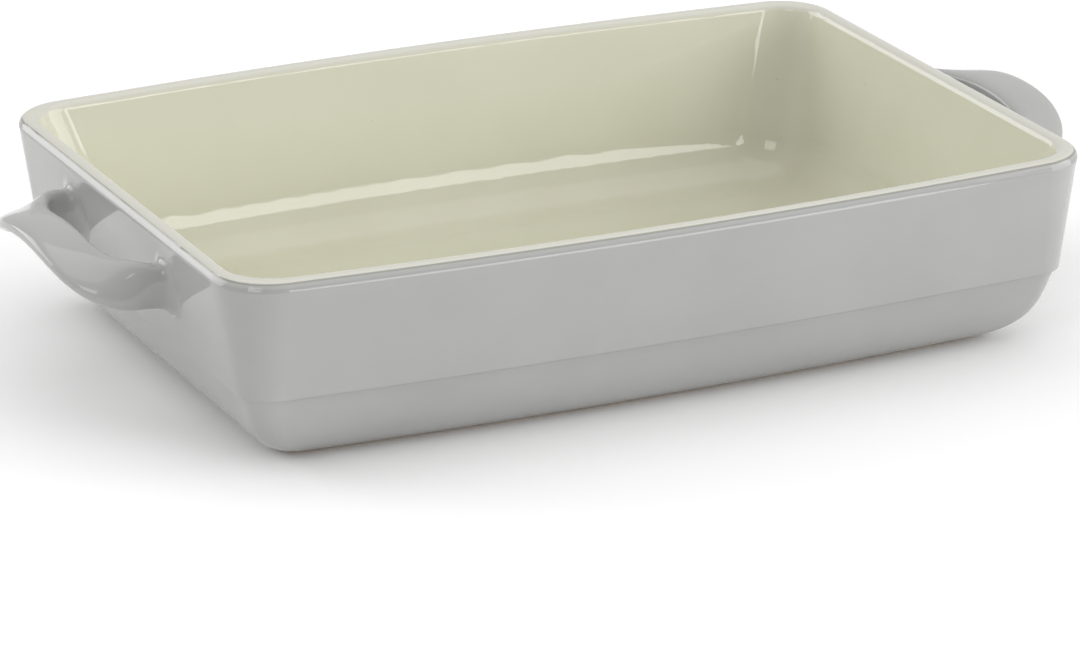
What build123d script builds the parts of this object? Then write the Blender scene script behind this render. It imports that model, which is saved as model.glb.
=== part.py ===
"""A stoneware lasagna dish: an oblong oven dish with a strap handle on each short end.

The clay body is pressed, with a tapered wall that oversails a rounded foot. The two
strap handles are made on their own and luted to the wall before firing. A cream glaze
coats the inside and the rim, a grey glaze coats the outside, and the foot ring is bare.

Millimetres. The origin is on the table under the middle of the dish, +Z is up and +X
runs along the dish from handle to handle.
"""

from build123d import *
from math import cos, radians, sin, tan
import os

# Dish, seen from above

rim_length = 330.0          # over the short ends, outside the glaze
rim_width = 234.0           # over the middle of the long sides
rim_bow = 7.6               # how far a long side bows out at the rim
base_bow = 5.0              # the same at the table
rim_corner = 22.0           # plan radius of a corner at the rim
sill_corner = 12.0          # plan radius of the wall's lower edge
foot_corner = 8.5           # plan radius of the foot where it meets the wall
contact_corner = 8.0        # plan radius of the foot where it meets the table

# Dish, seen from the side

dish_height = 72.2
foot_height = 28.0          # the table to the wall's lower edge
wall_taper = 7.2            # how far the wall leans in from the rim to its lower edge
foot_setback = 1.8          # the foot stands back this far behind the wall
foot_round = 26.0           # radius of the large round under the foot
sill_round = 1.2            # the wall's lower edge
throat_round = 0.5          # the hollow where the foot meets the wall
foot_angles = (12, 27, 42, 57, 72)  # degrees up from flat round the foot, then it goes up straight

# Wall, floor and glaze

rim_thickness = 7.0
sill_thickness = 9.4        # the wall at its lower edge, thicker than at the rim
floor_thickness = 7.0
glaze_thickness = 0.5
rim_crown = 3.2             # radius of the rolled rim, on each side
floor_round = 22.0          # the sweep from the inside wall to the floor
cavity_corner = 16.0        # plan radius of the inside at the rim
floor_corner = 25.0         # plan radius of the inside at the floor
seam_depth = 2.0            # the cream glaze stops this far below the rim, outside

# Foot ring

ring_width = 6.0
ring_height = 1.5           # the base inside the ring is recessed by this much
bare_height = 1.2           # the grey glaze is wiped off this high above the table

# Handles

handle_span = 88.0          # between the middles of a handle's two roots
handle_reach = 29.4         # from the wall to the middle of the strap
root_height = 53.0          # the middle of a root above the table
strap_rise = 8.8           # the strap climbs this much between its roots
strap_width = 15.0
strap_thickness = 5.0
strap_edge = 2.2            # radius of the strap's four long edges
arm_width = 15.8            # the strap where it leaves its roots
root_width = 16.5           # the strap where it enters the wall
root_thickness = 6.2
root_round = 5.0            # the clay is smoothed into the wall with this radius
root_bury = 4.0             # the root is let into the wall this far before it is cut to it
root_lean = 14.0            # degrees, the strap leans out with the wall at its roots
middle_lean = -92.0         # degrees, and has turned over to nearly flat in the middle
bow_power = 4.3             # 2 is an ellipse in plan, more is squarer
bearings = (-84, -72, -60, -48, -36, -18, 0, 18, 36, 48, 60, 72, 84)

# Worked out from the sizes above

wall_slope = wall_taper / (dish_height - foot_height)
cavity_slope = (wall_taper + sill_thickness - rim_thickness) / (dish_height - foot_height)
foot_inset = wall_taper + foot_setback
contact_angle, slant_angle = radians(foot_angles[0]), radians(foot_angles[-1])
round_level = foot_round * (cos(contact_angle) - cos(slant_angle))
round_inset = foot_inset + (foot_height - round_level) / tan(slant_angle)
contact_inset = round_inset + foot_round * (sin(slant_angle) - sin(contact_angle))
cavity_floor = ring_height + floor_thickness
wall_face = rim_length / 2 - wall_slope * (dish_height - root_height)


def outline(level, inset, corner):
    """The dish's plan at one height: long sides bowed, short ends straight, round corners."""
    depth_share = (dish_height - level) / dish_height
    bow = rim_bow + (base_bow - rim_bow) * depth_share
    half_length = rim_length / 2 - inset
    half_width = rim_width / 2 - inset
    half_end = half_width - bow
    with BuildSketch(Plane.XY.offset(level)) as plan:
        with BuildLine():
            ThreePointArc((-half_length, -half_end), (0, -half_width), (half_length, -half_end))
            Line((half_length, -half_end), (half_length, half_end))
            ThreePointArc((half_length, half_end), (0, half_width), (-half_length, half_end))
            Line((-half_length, half_end), (-half_length, -half_end))
        make_face()
        fillet(plan.vertices(), radius=corner)
    return plan.sketch


def foot_sections(top_level, coat):
    """Plans up the foot: a large round that leaves the table at a slant, then a straight slant."""
    sections = []
    for angle in foot_angles:
        level = foot_round * (cos(contact_angle) - cos(radians(angle)))
        inset = round_inset + foot_round * (sin(slant_angle) - sin(radians(angle))) + coat
        corner = contact_corner + (foot_corner - contact_corner) * level / foot_height
        sections.append(outline(level, inset, corner))
    middle_level = (round_level + top_level) / 2
    sections.append(outline(middle_level, (round_inset + foot_inset) / 2 + coat, foot_corner))
    sections.append(outline(top_level, foot_inset + coat, foot_corner))
    return sections


def dish_block(coat):
    """The dish without its hollow, its skin this far inside the glazed surface."""
    with BuildPart() as block:
        sill_level = foot_height + coat
        sill = outline(sill_level, wall_taper + coat, sill_corner)
        rim = outline(dish_height - coat, wall_slope * coat + coat, rim_corner)
        loft([sill, rim], ruled=True)
        fillet(block.edges().filter_by_position(Axis.Z, sill_level, sill_level), radius=sill_round)
        loft(foot_sections(sill_level, coat))
        throat = block.edges(Select.LAST).filter_by_position(Axis.Z, sill_level, sill_level)
        fillet(throat, radius=throat_round)
    return block.part


def hollow(growth):
    """The space inside the dish, grown into the clay by this much, and open at the top."""
    floor = cavity_floor - growth
    top = dish_height + rim_crown
    rim_inset = rim_thickness - growth
    with BuildPart() as space:
        bottom = outline(floor, rim_inset + cavity_slope * (dish_height - cavity_floor), floor_corner)
        mouth = outline(top, rim_inset - cavity_slope * rim_crown, cavity_corner)
        loft([bottom, mouth], ruled=True)
        fillet(space.edges().filter_by_position(Axis.Z, floor, floor), radius=floor_round)
    return space.part


def shell(coat):
    """The dish's wall and floor with a rolled rim, its skin this far inside the glaze."""
    block = dish_block(coat)
    space = hollow(coat)
    with BuildPart() as wall:
        add(block)
        add(space, mode=Mode.SUBTRACT)
        top = dish_height - coat
        fillet(wall.edges().filter_by_position(Axis.Z, top, top), radius=rim_crown - coat)
    return wall.part


def strap_station(bearing):
    """One section's plane on the handle at +X, and how far it is out from the wall to the middle.

    The strap follows a squarish oval in plan. It climbs towards its middle, and the further
    out it is, the more it has twisted from upright to nearly flat.
    """
    half_span = handle_span / 2
    across = sin(radians(bearing))
    away = cos(radians(bearing))
    size = (abs(away / handle_reach) ** bow_power + abs(across / half_span) ** bow_power) ** (-1 / bow_power)
    x = size * away
    y = size * across
    z = strap_rise * (1 - (y / half_span) ** 2)
    outward = Vector((x / handle_reach) ** (bow_power - 1) / handle_reach,
                     abs(y / half_span) ** (bow_power - 1) / half_span * (1 if y > 0 else -1)).normalized()
    climb = -2 * strap_rise * y / half_span ** 2 * outward.X
    tangent = Vector(-outward.Y, outward.X, climb).normalized()
    upright = outward.cross(tangent)
    out_share = x / handle_reach
    lean = radians(root_lean + (middle_lean - root_lean) * out_share)
    broad = upright * cos(lean) + outward * sin(lean)
    return Plane((wall_face + x, y, root_height + z), broad, tangent), out_share


def strap():
    """The strap at +X, twisted between its two roots, which run into the wall."""
    lean = radians(root_lean)
    sections = []
    for side in (-1, 1):
        root = Plane((wall_face - root_bury, side * handle_span / 2, root_height),
                     (0, side * sin(lean), cos(lean)), (-side, 0, 0))
        with BuildSketch(root) as end:
            RectangleRounded(root_width, root_thickness, strap_edge)
        sections.append(end.sketch)
    for bearing in bearings:
        station, out_share = strap_station(bearing)
        width = arm_width + (strap_width - arm_width) * out_share
        with BuildSketch(station) as section:
            RectangleRounded(width, strap_thickness, strap_edge)
        sections.insert(-1, section.sketch)
    with BuildPart() as bow:
        loft(sections)
    return bow.part


# Forms that the pieces are cut from

clay_block = dish_block(glaze_thickness)
clay_shell = shell(glaze_thickness)
glazed_shell = shell(0)
right_strap = strap()

with BuildPart() as glaze_coat:
    add(glazed_shell)
    add(clay_shell, mode=Mode.SUBTRACT)

with BuildPart() as cream_zone:
    add(hollow(rim_thickness / 2))
    with BuildSketch(Plane.XY.offset(dish_height - seam_depth)):
        Rectangle(rim_length + rim_thickness, rim_width + rim_thickness)
    extrude(amount=seam_depth + rim_crown)

# Clay body: wall, floor and a bare foot ring round a recessed base

recess = outline(0, contact_inset + ring_width, contact_corner - ring_width / 2)

with BuildPart() as dish_body:
    add(clay_shell)
    extrude(recess, amount=ring_height + glaze_thickness, mode=Mode.SUBTRACT)

# Handles: the strap smoothed into the end wall at both roots, then cut to the clay wall

with BuildPart() as right_handle:
    add(clay_block)
    add(right_strap)
    end_wall = right_handle.faces().sort_by(lambda face: len(face.inner_wires()))[-1]
    near_root, far_root = end_wall.inner_wires()
    fillet(near_root.edges() + far_root.edges(), radius=root_round)
    add(clay_block, mode=Mode.SUBTRACT)

with BuildPart() as left_handle:
    add(mirror(right_handle.part, about=Plane.YZ))

# Cream glaze over the inside, over the rim and a little way down outside

with BuildPart() as inside_glaze:
    add(glaze_coat.part)
    add(cream_zone.part, mode=Mode.INTERSECT)

# Grey glaze down the outside to just above the table, open where the roots are luted on

with BuildPart() as outside_glaze:
    add(glaze_coat.part)
    add(cream_zone.part, mode=Mode.SUBTRACT)
    with BuildSketch(Plane.XY.offset(-bare_height)):
        Rectangle(rim_length, rim_width)
    extrude(amount=2 * bare_height, mode=Mode.SUBTRACT)
    add(right_handle.part, mode=Mode.SUBTRACT)
    add(left_handle.part, mode=Mode.SUBTRACT)

# Grey glaze on the base, inside the foot ring

with BuildPart() as base_glaze:
    extrude(recess, amount=ring_height + glaze_thickness)
    extrude(recess, amount=ring_height, mode=Mode.SUBTRACT)

os.makedirs("parts", exist_ok=True)
pieces = {
    "dish_body": dish_body,
    "inside_glaze": inside_glaze,
    "outside_glaze": outside_glaze,
    "base_glaze": base_glaze,
    "left_handle": left_handle,
    "right_handle": right_handle,
}
for name, piece in pieces.items():
    piece.part.label = name
    export_step(piece.part, f"parts/{name}.step")
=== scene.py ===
"""Looks of the stoneware lasagna dish: its two glazes, its bare clay and a soft studio.

Run as a script in Blender 4.5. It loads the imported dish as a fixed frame, gives each piece
its finish, models the two strap handles with their softly smoothed roots, and sets a pale
floor, soft lights and the camera. Metres; +Z is up and +X runs from handle to handle.
"""

import math

import bmesh
import bpy
from bpy.props import FloatProperty, FloatVectorProperty, PointerProperty, StringProperty
from mathutils import Matrix, Vector


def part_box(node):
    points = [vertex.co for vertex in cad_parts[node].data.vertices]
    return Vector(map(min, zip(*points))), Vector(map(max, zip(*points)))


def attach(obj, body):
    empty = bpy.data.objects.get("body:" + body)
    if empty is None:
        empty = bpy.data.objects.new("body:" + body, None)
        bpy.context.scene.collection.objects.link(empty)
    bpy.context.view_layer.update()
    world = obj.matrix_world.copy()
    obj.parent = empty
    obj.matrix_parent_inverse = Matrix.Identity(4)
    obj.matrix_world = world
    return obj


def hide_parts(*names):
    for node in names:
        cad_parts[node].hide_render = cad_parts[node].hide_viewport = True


bl_info = {
    "name": "Stoneware Lasagna Dish",
    "version": (1, 0, 0),
    "blender": (4, 5, 0),
    "location": "3D View > Sidebar > Lasagna Dish",
    "description": "Glazes, bare clay, strap handles and a soft studio for a stoneware lasagna dish",
    "category": "Object",
}

MM = 0.001

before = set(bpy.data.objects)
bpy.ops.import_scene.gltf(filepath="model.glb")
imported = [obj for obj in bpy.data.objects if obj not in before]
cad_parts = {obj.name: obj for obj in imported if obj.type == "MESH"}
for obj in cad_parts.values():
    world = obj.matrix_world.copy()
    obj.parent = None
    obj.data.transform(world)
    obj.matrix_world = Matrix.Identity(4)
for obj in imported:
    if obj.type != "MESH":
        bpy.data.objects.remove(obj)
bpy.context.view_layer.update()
RIM_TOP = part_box("inside_glaze")[1].z
FLOOR_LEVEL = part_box("inside_glaze")[0].z
WALL_TOP_X = 165 * MM     # an end wall carried up to the rim's height
SILL_X = 157.8 * MM       # and at its lower edge
SILL_LEVEL = 28 * MM

# Heights over which the glazes change, as from and to

DARKER_TOWARD_FLOOR = (FLOOR_LEVEL + 26 * MM, FLOOR_LEVEL)             # the cream darkens towards the floor
RIM_SHEEN_BAND = (RIM_TOP - 2.6 * MM, RIM_TOP - 0.8 * MM)     # painted sheen: the rim's glossy top painted a neutral grey-white
SEAM = (RIM_TOP - 0.45 * MM, RIM_TOP - 0.65 * MM)       # the two glazes overlap outside
GREY_START = (RIM_TOP - 0.95 * MM, RIM_TOP - 1.2 * MM)  # and only grey shows below
SHOULDER = (RIM_TOP - 4.6 * MM, RIM_TOP - 2.4 * MM)     # the grey glaze rolls over here

# How strongly the second colours show, 1 is fully

CREAM_MOTTLE, GREY_MOTTLE = 0.35, 0.45
# scales the cream's clouds and its darkening towards the floor
DARKER_CREAM_DEPTH = 0.6
SPECK_DEPTH = 0.5
GRAIN_DEPTH, TOAST_DEPTH, GROG_DEPTH = 0.5, 0.4, 0.7

# Colours of the finest marks

CREAM_SPECK, GREY_SPECK = "#A79F80", "#6F6F69"
CLAY_GRAIN, CLAY_TOAST, CLAY_GROG = "#B29C7D", "#A98D6C", "#6B5843"

# How the surfaces take the light

GLAZE_ROUGHNESS = (0.03, 0.06)      # in the clearest and in the dullest clouds
GLAZE_IOR = 1.52
CLAY_ROUGHNESS, CLAY_IOR = 0.85, 1.5
RIPPLE_STRENGTH, RIPPLE_DEPTH = 0.10, 0.12 * MM
PIT_STRENGTH, PIT_DEPTH = 0.35, 0.15 * MM
GRAIN_STRENGTH, GRAIN_RELIEF = 0.5, 0.1 * MM
SHOULDER_ROLL = 0.42                # how far the shoulder's normal is tipped up
OUTWARD_EDGE = 4 * MM               # a face whose plane passes the dish's axis this far off faces out
SPECK_CORE = 0.4                    # the share of a speck's radius that is at full strength
SPECK_PICK = 0.9                    # specks above this share of the chosen ones are fainter

# Strap handle: degrees round a root's smoothed clay, its depth, and its skirt's extra width

ROOT_STEPS = ((0, -0.25 * MM, 3 * MM), (0, -0.04 * MM, 0), (12, 0, 0), (24, 0, 0), (36, 0, 0),
              (48, 0, 0), (60, 0, 0), (76, 0, 0))
BEARINGS = range(80, -81, -5)       # degrees round the strap's oval
RING_POINTS = 28
ROOT_SOFTNESS, MIDDLE_SOFTNESS = 2.3, 2.7   # 2 is an ellipse in section
TWIST_POWER = 1.6                   # more keeps the strap upright longer

# Studio: each softbox's name, place, width, depth and the setting with its radiance

SOFTBOXES = (
    ("overhead_softbox", (0.3, 0.3, 2.6), 3.4, 3.0, "overhead_light"),
    ("front_right_softbox", (1.15, -2.75, 1.02), 1.6, 1.35, "front_light"),
    ("right_softbox", (2.8, -1.1, 1.2), 2.6, 1.8, "right_light"),
    ("left_softbox", (-1.8, -1.3, 1.6), 1.05, 0.95, "left_light"),
    ("back_left_softbox", (-1.9, 2.2, 1.2), 2.4, 1.8, "back_light"),
)
LIGHT_AIM = (0.0, 0.0, 0.04)
DIM_SIDE = (-0.52, -0.83, 0.2)      # the room is dimmer this way
DIM_EDGE = (0.45, 0.95)             # where the dimming starts and is full
DIM_SHARE = 0.5
FLOOR_DROP = 0.1 * MM               # keeps the floor off the foot ring's face
FLOOR_COLOUR, FLOOR_ROUGHNESS = "#F8F8F8", 0.9
WHITE = (1.0, 1.0, 1.0, 1.0)


def linear(hex_colour):
    """An sRGB hex colour as linear red, green, blue and alpha."""
    channels = [int(hex_colour[start:start + 2], 16) / 255 for start in (1, 3, 5)]
    straight = [c / 12.92 if c <= 0.04045 else ((c + 0.055) / 1.055) ** 2.4 for c in channels]
    return (*straight, 1.0)


def add_node(tree, kind, links=None, **settings):
    """Adds one node, sets its properties and its inputs, and links what feeds it."""
    node = tree.nodes.new(kind)
    for name, value in settings.items():
        if hasattr(node, name):
            setattr(node, name, value)
        else:
            node.inputs[name.replace("_", " ")].default_value = value
    for name, source in (links or {}).items():
        tree.links.new(source, node.inputs[name])
    return node


class DishGlazeSettings(bpy.types.PropertyGroup):
    """Colours and real sizes of the dish's glazes."""

    cream_colour: StringProperty(name="Cream glaze", description="sRGB hex of the inside glaze",
                                 default="#D1D0BE")
    # a darker cream, shown towards the floor and in the clouds
    darker_cream_colour: StringProperty(name="Pooled cream", default="#C2C0AA",
                                        description="sRGB hex where the inside glaze runs thick")
    # painted sheen: the rim's glossy, lit top painted a neutral grey-white
    rim_sheen_colour: StringProperty(name="Rim", description="sRGB hex where the glaze thins over the rim",
                               default="#C7C6BC")
    grey_colour: StringProperty(name="Grey glaze", description="sRGB hex of the outside glaze",
                                default="#A7A7A5")
    deep_grey_colour: StringProperty(name="Deep grey", default="#9C9C9A",
                                     description="sRGB hex where the outside glaze runs thick")
    seam_colour: StringProperty(name="Seam", default="#92928B",
                                description="sRGB hex of the line where the two glazes overlap")
    clay_colour: StringProperty(name="Fired clay", description="sRGB hex of the bare foot ring",
                                default="#C9B79C")
    mottle_size: FloatProperty(name="Mottle size", description="Width of the soft clouds in the glaze",
                               default=38 * MM, unit="LENGTH")
    peel_size: FloatProperty(name="Peel size", description="Width of the glaze's shallow ripples",
                             default=9 * MM, unit="LENGTH")
    pinhole_spacing: FloatProperty(name="Pinhole spacing", description="Distance between specks",
                                   default=11 * MM, unit="LENGTH")


class DishHandleSettings(bpy.types.PropertyGroup):
    """Real sizes of a strap handle."""

    span: FloatProperty(name="Span", description="Between the middles of the two roots",
                        default=87 * MM, unit="LENGTH")
    reach: FloatProperty(name="Reach", description="From the wall to the middle of the strap",
                         default=27.2 * MM, unit="LENGTH")
    root_height: FloatProperty(name="Root height", description="The middle of a root above the table",
                               default=53.3 * MM, unit="LENGTH")
    rise: FloatProperty(name="Rise", description="How far the strap climbs between its roots",
                        default=8.8 * MM, unit="LENGTH")
    middle_width: FloatProperty(name="Width", description="Width of the strap in the middle",
                                default=19.2 * MM, unit="LENGTH")
    middle_thickness: FloatProperty(name="Thickness", description="Thickness in the middle",
                                    default=6.2 * MM, unit="LENGTH")
    root_width: FloatProperty(name="Root width", description="Height of the strap at its roots",
                              default=15.6 * MM, unit="LENGTH")
    root_thickness: FloatProperty(name="Root thickness", description="Thickness at its roots",
                                  default=10.4 * MM, unit="LENGTH")
    root_round: FloatProperty(name="Root round", description="Radius of the clay smoothed into the wall",
                              default=5.6 * MM, unit="LENGTH")
    root_lean: FloatProperty(name="Root lean", description="The strap leans out at its roots",
                             default=math.radians(7), subtype="ANGLE")
    middle_lean: FloatProperty(name="Middle lean", description="And has turned over in the middle",
                               default=math.radians(-90), subtype="ANGLE")
    squareness: FloatProperty(name="Squareness", description="2 is an ellipse in plan", default=3.4)


class DishStudioSettings(bpy.types.PropertyGroup):
    """Camera, floor and lights."""

    camera_place: FloatVectorProperty(name="Camera", description="Where the camera stands",
                                      default=(-0.79796, -1.68356, 0.67664), subtype="TRANSLATION")
    camera_aim: FloatVectorProperty(name="Aim", description="A point on the camera's axis",
                                    default=(-0.00624, -0.01014, 0.00345), subtype="TRANSLATION")
    camera_roll: FloatProperty(name="Roll", description="Camera roll", default=math.radians(-0.132),
                               subtype="ANGLE")
    camera_lens: FloatProperty(name="Lens", description="Focal length in millimetres",
                               default=182.79, unit="CAMERA")
    floor_size: FloatProperty(name="Floor", description="Side of the pale floor", default=12.0,
                              unit="LENGTH")
    fill_light: FloatProperty(name="Fill", description="Even light from all round", default=0.675)
    overhead_light: FloatProperty(name="Overhead", description="Radiance of the overhead softbox",
                                  default=0.7)
    front_light: FloatProperty(name="Front", description="Radiance of the front right softbox",
                               default=4.0)
    left_light: FloatProperty(name="Left", description="Radiance of the left softbox", default=2.6)
    right_light: FloatProperty(name="Right", description="Radiance of the right softbox", default=2.1)
    back_light: FloatProperty(name="Back", description="Radiance of the back left softbox",
                              default=2.5)


def glaze_coordinates(tree):
    """Places on the dish in metres, and the height above the table."""
    place = add_node(tree, "ShaderNodeTexCoord").outputs["Object"]
    height = add_node(tree, "ShaderNodeSeparateXYZ", {"Vector": place}).outputs["Z"]
    return place, height


def band(tree, value, start, end):
    """0 at start and 1 at end, whichever of them is higher, with a smooth step between."""
    step = add_node(tree, "ShaderNodeMapRange", {"Value": value}, interpolation_type="SMOOTHSTEP",
                    From_Min=min(start, end), From_Max=max(start, end),
                    To_Min=float(start > end), To_Max=float(start <= end))
    return step.outputs["Result"]


def blend(tree, share, first, second):
    """Mixes two colours; each is a colour or a socket."""
    mix = add_node(tree, "ShaderNodeMix", {"Factor": share}, data_type="RGBA")
    for index, colour in ((6, first), (7, second)):
        if isinstance(colour, tuple):
            mix.inputs[index].default_value = colour
        else:
            tree.links.new(colour, mix.inputs[index])
    return mix.outputs[2]


def maths(tree, operation, first, second=0.0):
    """One Math node on sockets or numbers."""
    node = add_node(tree, "ShaderNodeMath", operation=operation)
    for index, value in enumerate((first, second)):
        if isinstance(value, float):
            node.inputs[index].default_value = value
        else:
            tree.links.new(value, node.inputs[index])
    return node.outputs[0]


def new_material(name):
    """An empty material with its Principled shader."""
    material = bpy.data.materials.new(name)
    material.use_nodes = True
    return material, material.node_tree, material.node_tree.nodes["Principled BSDF"]


def clouds(tree, place, size, detail, contrast):
    """Soft clouds of one real size, stretched about a half."""
    noise = add_node(tree, "ShaderNodeTexNoise", {"Vector": place}, Scale=1 / size, Detail=detail)
    return band(tree, noise.outputs["Fac"], 0.5 - contrast, 0.5 + contrast)


def outward_facing(tree, place):
    """1 on surfaces that face away from the dish's middle, 0 on the inside walls."""
    flat = add_node(tree, "ShaderNodeVectorMath", {"Vector": place}, operation="MULTIPLY")
    flat.inputs[1].default_value = (1.0, 1.0, 0.0)
    facing = add_node(tree, "ShaderNodeVectorMath", operation="DOT_PRODUCT")
    tree.links.new(flat.outputs["Vector"], facing.inputs[0])
    tree.links.new(add_node(tree, "ShaderNodeTexCoord").outputs["Normal"], facing.inputs[1])
    return band(tree, facing.outputs["Value"], 0.0, OUTWARD_EDGE)


def pinholes(tree, place, spacing, radius, share):
    """Sparse round specks: 1 at the middle of a speck, 0 away from it."""
    cells = add_node(tree, "ShaderNodeTexVoronoi", {"Vector": place}, Scale=1 / spacing)
    edge = radius / spacing
    dot = band(tree, cells.outputs["Distance"], edge, edge * SPECK_CORE)
    pick = add_node(tree, "ShaderNodeSeparateColor", {"Color": cells.outputs["Color"]}).outputs["Red"]
    return maths(tree, "MULTIPLY", dot, band(tree, pick, share, share * SPECK_PICK))


def glass_surface(tree, shader, place, settings, specks, roll=None):
    """The glaze's glassy skin: shallow ripples, pinholes and a gloss that mirrors the studio."""
    peel = add_node(tree, "ShaderNodeTexNoise", {"Vector": place}, Scale=1 / settings.peel_size,
                    Detail=1.0)
    ripples = add_node(tree, "ShaderNodeBump", {"Height": peel.outputs["Fac"]},
                       Strength=RIPPLE_STRENGTH, Distance=RIPPLE_DEPTH)
    if roll:
        upward = add_node(tree, "ShaderNodeCombineXYZ", {"Z": roll}).outputs["Vector"]
        tilted = add_node(tree, "ShaderNodeVectorMath", {"Vector": upward}, operation="ADD")
        tree.links.new(add_node(tree, "ShaderNodeNewGeometry").outputs["Normal"], tilted.inputs[1])
        tree.links.new(tilted.outputs["Vector"], ripples.inputs["Normal"])
    pits = add_node(tree, "ShaderNodeBump", {"Height": specks, "Normal": ripples.outputs["Normal"]},
                    Strength=PIT_STRENGTH, Distance=PIT_DEPTH, invert=True)
    tree.links.new(pits.outputs["Normal"], shader.inputs["Normal"])
    streaks = clouds(tree, place, settings.mottle_size / 2, detail=2.0, contrast=0.3)
    rough = add_node(tree, "ShaderNodeMapRange", {"Value": streaks}, To_Min=GLAZE_ROUGHNESS[0],
                     To_Max=GLAZE_ROUGHNESS[1])
    tree.links.new(rough.outputs["Result"], shader.inputs["Roughness"])
    shader.inputs["IOR"].default_value = GLAZE_IOR


def cream_glaze(settings):
    """Opaque cream stoneware glaze, poured: glossy, darker towards the floor, with a painted sheen on
    the rim.
    """
    material, tree, shader = new_material("cream_glazed_stoneware")
    place, height = glaze_coordinates(tree)
    mottle = clouds(tree, place, settings.mottle_size, detail=2.0, contrast=0.28)
    # darker towards the floor and in the sweep
    toward_floor = band(tree, height, *DARKER_TOWARD_FLOOR)
    depth = maths(tree, "ADD", maths(tree, "MULTIPLY", mottle, CREAM_MOTTLE), toward_floor)
    depth = maths(tree, "MULTIPLY", depth, DARKER_CREAM_DEPTH)
    colour = blend(tree, depth, linear(settings.cream_colour), linear(settings.darker_cream_colour))
    # painted sheen: the rim's glossy, lit top painted a neutral grey-white
    colour = blend(tree, band(tree, height, *RIM_SHEEN_BAND), colour, linear(settings.rim_sheen_colour))
    outside = outward_facing(tree, place)
    for levels, lower_colour in ((SEAM, settings.seam_colour), (GREY_START, settings.grey_colour)):
        below = maths(tree, "MULTIPLY", outside, band(tree, height, *levels))
        colour = blend(tree, below, colour, linear(lower_colour))
    specks = pinholes(tree, place, settings.pinhole_spacing, radius=0.45 * MM, share=0.16)
    colour = blend(tree, maths(tree, "MULTIPLY", specks, SPECK_DEPTH), colour, linear(CREAM_SPECK))
    tree.links.new(colour, shader.inputs["Base Color"])
    glass_surface(tree, shader, place, settings, specks)
    return material


def grey_glaze(name, settings):
    """Opaque light grey stoneware glaze, sprayed: glossy, softly mottled, bright on its shoulder."""
    material, tree, shader = new_material(name)
    place, height = glaze_coordinates(tree)
    mottle = clouds(tree, place, settings.mottle_size, detail=2.0, contrast=0.30)
    colour = blend(tree, maths(tree, "MULTIPLY", mottle, GREY_MOTTLE),
                   linear(settings.grey_colour), linear(settings.deep_grey_colour))
    specks = pinholes(tree, place, settings.pinhole_spacing, radius=0.4 * MM, share=0.14)
    colour = blend(tree, maths(tree, "MULTIPLY", specks, SPECK_DEPTH), colour, linear(GREY_SPECK))
    tree.links.new(colour, shader.inputs["Base Color"])
    shoulder = band(tree, height, *SHOULDER)
    glass_surface(tree, shader, place, settings, specks,
                  maths(tree, "MULTIPLY", shoulder, SHOULDER_ROLL))
    return material


def bare_clay(settings):
    """Fired stoneware left bare: matt, dry, with fine dark grog that shows as speckle."""
    material, tree, shader = new_material("bare_fired_stoneware")
    place, _ = glaze_coordinates(tree)
    grain = clouds(tree, place, 0.9 * MM, detail=4.0, contrast=0.25)
    toast = clouds(tree, place, 24 * MM, detail=3.0, contrast=0.25)
    grog = pinholes(tree, place, 2.4 * MM, radius=0.35 * MM, share=0.3)
    colour = linear(settings.clay_colour)
    for marks, depth, mark_colour in ((grain, GRAIN_DEPTH, CLAY_GRAIN),
                                      (toast, TOAST_DEPTH, CLAY_TOAST),
                                      (grog, GROG_DEPTH, CLAY_GROG)):
        colour = blend(tree, maths(tree, "MULTIPLY", marks, depth), colour, linear(mark_colour))
    tree.links.new(colour, shader.inputs["Base Color"])
    rough = add_node(tree, "ShaderNodeBump", {"Height": grain}, Strength=GRAIN_STRENGTH,
                     Distance=GRAIN_RELIEF)
    tree.links.new(rough.outputs["Normal"], shader.inputs["Normal"])
    shader.inputs["Roughness"].default_value = CLAY_ROUGHNESS
    shader.inputs["IOR"].default_value = CLAY_IOR
    return material


def dress(node_name, material):
    """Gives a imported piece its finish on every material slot."""
    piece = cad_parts[node_name]
    for slot in piece.material_slots:
        slot.material = material


class DISH_OT_clay_body(bpy.types.Operator):
    """Finish the pressed clay body, which shows at the bare foot ring"""

    bl_idname = "dish.clay_body"
    bl_label = "Clay Body"

    def execute(self, context):
        dress("dish_body", bare_clay(context.scene.dish_glazes))
        return {"FINISHED"}


class DISH_OT_inside_glaze(bpy.types.Operator):
    """Finish the cream glaze inside and over the rim"""

    bl_idname = "dish.inside_glaze"
    bl_label = "Inside Glaze"

    def execute(self, context):
        dress("inside_glaze", cream_glaze(context.scene.dish_glazes))
        return {"FINISHED"}


class DISH_OT_outside_glaze(bpy.types.Operator):
    """Finish the grey glaze on the outside wall, the foot and the recessed base"""

    bl_idname = "dish.outside_glaze"
    bl_label = "Outside Glaze"

    def execute(self, context):
        dress("outside_glaze", grey_glaze("grey_glazed_stoneware", context.scene.dish_glazes))
        dress("base_glaze", grey_glaze("grey_glazed_base", context.scene.dish_glazes))
        return {"FINISHED"}


def ring(centre, broad, thin, width, thickness, softness):
    """One cross-section of the strap: a soft-edged oblong round a centre."""
    corners = []
    shape = 2 / softness
    for index in range(RING_POINTS):
        angle = math.tau * index / RING_POINTS
        across, along = math.cos(angle), math.sin(angle)
        corners.append(centre + broad * (width / 2 * math.copysign(abs(across) ** shape, across))
                       + thin * (thickness / 2 * math.copysign(abs(along) ** shape, along)))
    return corners


def eased(share):
    """0 to 1 with a soft start and end."""
    share = min(1.0, max(0.0, share))
    return share * share * (3 - 2 * share)


def between(first, last, share):
    """The value this share of the way from the first to the last."""
    return first + (last - first) * share


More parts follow.
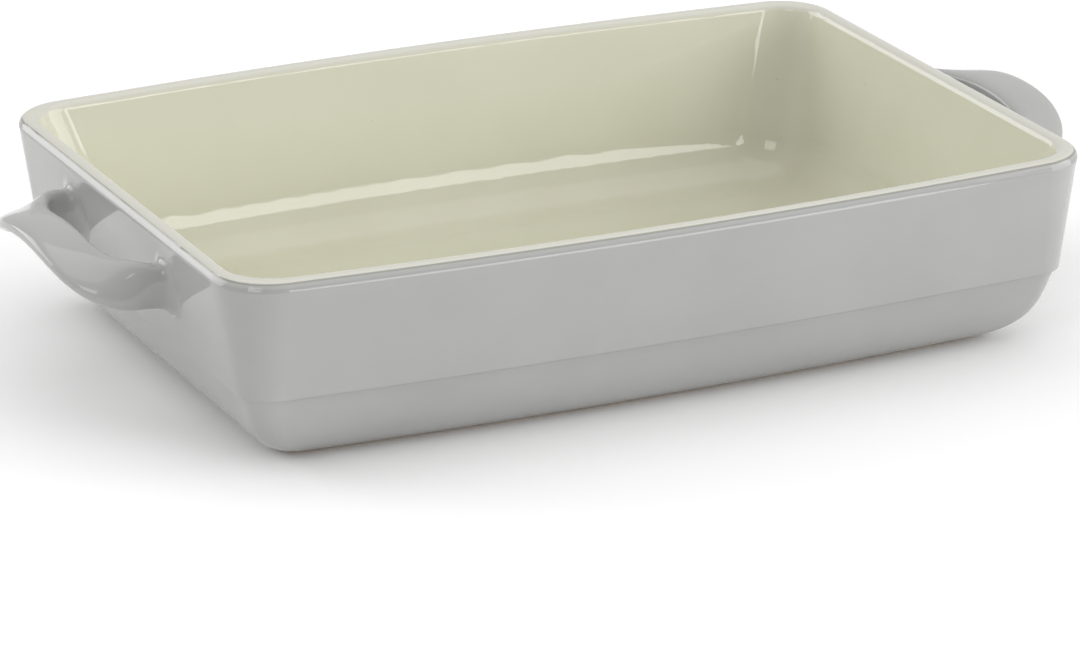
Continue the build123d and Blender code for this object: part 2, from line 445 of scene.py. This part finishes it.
def root_rings(settings, wall_x, wall_lean, side):
    """Sections from inside the glaze out to the strap, flared by the smoothed clay."""
    sideways = Vector((0.0, side, 0.0))
    out_wall = Vector((math.cos(wall_lean), 0.0, -math.sin(wall_lean)))
    middle = Vector((wall_x, side * settings.span / 2, settings.root_height))
    rings = []
    for turn, depth, skirt in ROOT_STEPS:
        lean = wall_lean * (1 - eased(turn / ROOT_STEPS[-1][0]))
        up = Vector((math.sin(lean), 0.0, math.cos(lean)))
        broad = up * math.cos(settings.root_lean) + sideways * math.sin(settings.root_lean)
        thin = up * math.sin(settings.root_lean) - sideways * math.cos(settings.root_lean)
        out = depth + settings.root_round * (1 - math.cos(math.radians(turn)))
        flare = 2 * settings.root_round * (1 - math.sin(math.radians(turn))) + skirt
        rings.append(ring(middle + out_wall * out, broad, thin, settings.root_width + flare,
                          settings.root_thickness + flare, ROOT_SOFTNESS))
    return rings


def strap_ring(settings, wall_x, bearing):
    """A section of the strap: it follows a squarish oval, climbs, and twists to lie flat."""
    half_span = settings.span / 2
    power = settings.squareness
    across, away = math.sin(bearing), math.cos(bearing)
    size = (abs(away / settings.reach) ** power + abs(across / half_span) ** power) ** (-1 / power)
    x, y = size * away, size * across
    z = settings.rise * (1 - (y / half_span) ** 2)
    outward = Vector(((x / settings.reach) ** (power - 1) / settings.reach,
                      math.copysign(abs(y / half_span) ** (power - 1) / half_span, y), 0.0)).normalized()
    climb = -2 * settings.rise * y / half_span ** 2 * outward.x
    tangent = Vector((-outward.y, outward.x, climb)).normalized()
    upright = outward.cross(tangent)
    share = x / settings.reach
    lean = between(settings.root_lean, settings.middle_lean, share ** TWIST_POWER)
    broad = upright * math.cos(lean) + outward * math.sin(lean)
    soft_share = eased(share)
    return ring(Vector((wall_x + x, y, settings.root_height + z)), broad, broad.cross(tangent),
                between(settings.root_width, settings.middle_width, soft_share),
                between(settings.root_thickness, settings.middle_thickness, soft_share),
                between(ROOT_SOFTNESS, MIDDLE_SOFTNESS, soft_share))


def strap_handle(name, settings, side):
    """A handle's mesh at +X, or mirrored at -X, ready for its finish."""
    wall_slope = (WALL_TOP_X - SILL_X) / (RIM_TOP - SILL_LEVEL)
    wall_x = WALL_TOP_X - wall_slope * (RIM_TOP - settings.root_height)
    lean = math.atan(wall_slope)
    far = root_rings(settings, wall_x, lean, 1)
    near = root_rings(settings, wall_x, lean, -1)
    bow = [strap_ring(settings, wall_x, math.radians(bearing)) for bearing in BEARINGS]
    mesh = bmesh.new()
    loops = [[mesh.verts.new((point.x * side, point.y, point.z)) for point in points]
             for points in far + bow + near[::-1]]
    for one, two in zip(loops, loops[1:]):
        for index in range(len(one)):
            after = (index + 1) % len(one)
            mesh.faces.new((one[index], one[after], two[after], two[index]))
    mesh.faces.new(loops[0])
    mesh.faces.new(loops[-1])
    bmesh.ops.recalc_face_normals(mesh, faces=mesh.faces)
    data = bpy.data.meshes.new(name)
    mesh.to_mesh(data)
    mesh.free()
    for face in data.polygons:
        face.use_smooth = True
    piece = bpy.data.objects.new(name, data)
    bpy.context.scene.collection.objects.link(piece)
    smooth = piece.modifiers.new("smooth_skin", "SUBSURF")
    smooth.levels = smooth.render_levels = 1
    return piece


class DISH_OT_handles(bpy.types.Operator):
    """Model and finish the two strap handles"""

    bl_idname = "dish.handles"
    bl_label = "Handles"

    def execute(self, context):
        material = grey_glaze("grey_glazed_strap", context.scene.dish_glazes)
        for node, side in (("left_handle", -1), ("right_handle", 1)):
            piece = strap_handle(node + "_strap", context.scene.dish_handles, side)
            piece.data.materials.append(material)
            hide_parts(node)
            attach(piece, "root")
        return {"FINISHED"}


def softbox(name, place, aim, width, depth, radiance):
    """A rectangular soft light that faces a point; its radiance is what a mirror would show."""
    light = bpy.data.lights.new(name, "AREA")
    light.shape = "RECTANGLE"
    light.size = width
    light.size_y = depth
    light.energy = radiance * math.pi * width * depth
    lamp = bpy.data.objects.new(name, light)
    lamp.location = place
    lamp.rotation_euler = (Vector(aim) - Vector(place)).to_track_quat("-Z", "Y").to_euler()
    bpy.context.scene.collection.objects.link(lamp)


class DISH_OT_studio(bpy.types.Operator):
    """Lay the pale floor and set the soft lights and the camera"""

    bl_idname = "dish.studio"
    bl_label = "Studio"

    def execute(self, context):
        settings = context.scene.dish_studio
        bpy.ops.mesh.primitive_plane_add(size=settings.floor_size, location=(0.0, 0.0, -FLOOR_DROP))
        floor = context.object
        floor.name = "pale_floor"
        material, tree, shader = new_material("pale_studio_floor")
        shader.inputs["Base Color"].default_value = linear(FLOOR_COLOUR)
        shader.inputs["Roughness"].default_value = FLOOR_ROUGHNESS
        floor.data.materials.append(material)

        world = bpy.data.worlds.new("soft_studio")
        world.use_nodes = True
        tree = world.node_tree
        way = add_node(tree, "ShaderNodeTexCoord").outputs["Generated"]
        facing = add_node(tree, "ShaderNodeVectorMath", {"Vector": way}, operation="DOT_PRODUCT")
        facing.inputs[1].default_value = DIM_SIDE
        strength = add_node(tree, "ShaderNodeMapRange", {"Value": facing.outputs["Value"]},
                            interpolation_type="SMOOTHSTEP",
                            From_Min=DIM_EDGE[0], From_Max=DIM_EDGE[1],
                            To_Min=settings.fill_light, To_Max=settings.fill_light * DIM_SHARE)
        tree.links.new(strength.outputs["Result"], tree.nodes["Background"].inputs["Strength"])
        tree.nodes["Background"].inputs["Color"].default_value = WHITE
        context.scene.world = world
        context.scene.view_settings.view_transform = "Standard"
        for name, place, width, depth, light in SOFTBOXES:
            softbox(name, place, LIGHT_AIM, width, depth, getattr(settings, light))

        camera = bpy.data.objects.new("camera", bpy.data.cameras.new("camera"))
        camera.data.lens = settings.camera_lens
        camera.location = settings.camera_place
        aim = Vector(settings.camera_aim) - camera.location
        turn = aim.to_track_quat("-Z", "Y").to_matrix().to_4x4()
        roll = Matrix.Rotation(settings.camera_roll, 4, (0.0, 0.0, 1.0))
        camera.rotation_euler = (turn @ roll).to_euler()
        context.scene.collection.objects.link(camera)
        context.scene.camera = camera
        return {"FINISHED"}


class DISH_PT_panel(bpy.types.Panel):
    """Lists the dish's pieces and the studio"""

    bl_label = "Lasagna Dish"
    bl_idname = "DISH_PT_panel"
    bl_space_type = "VIEW_3D"
    bl_region_type = "UI"
    bl_category = "Lasagna Dish"

    def draw(self, context):
        column = self.layout.column()
        for operator in OPERATORS:
            column.operator(operator.bl_idname)


OPERATORS = (DISH_OT_clay_body, DISH_OT_inside_glaze, DISH_OT_outside_glaze, DISH_OT_handles,
             DISH_OT_studio)
CLASSES = (DishGlazeSettings, DishHandleSettings, DishStudioSettings) + OPERATORS + (DISH_PT_panel,)


def register():
    for cls in CLASSES:
        bpy.utils.register_class(cls)
    bpy.types.Scene.dish_glazes = PointerProperty(type=DishGlazeSettings)
    bpy.types.Scene.dish_handles = PointerProperty(type=DishHandleSettings)
    bpy.types.Scene.dish_studio = PointerProperty(type=DishStudioSettings)


def unregister():
    del bpy.types.Scene.dish_studio
    del bpy.types.Scene.dish_handles
    del bpy.types.Scene.dish_glazes
    for cls in reversed(CLASSES):
        bpy.utils.unregister_class(cls)


def main():
    register()
    for operator in OPERATORS:
        group, name = operator.bl_idname.split(".")
        getattr(getattr(bpy.ops, group), name)()


if __name__ == "__main__":
    main()
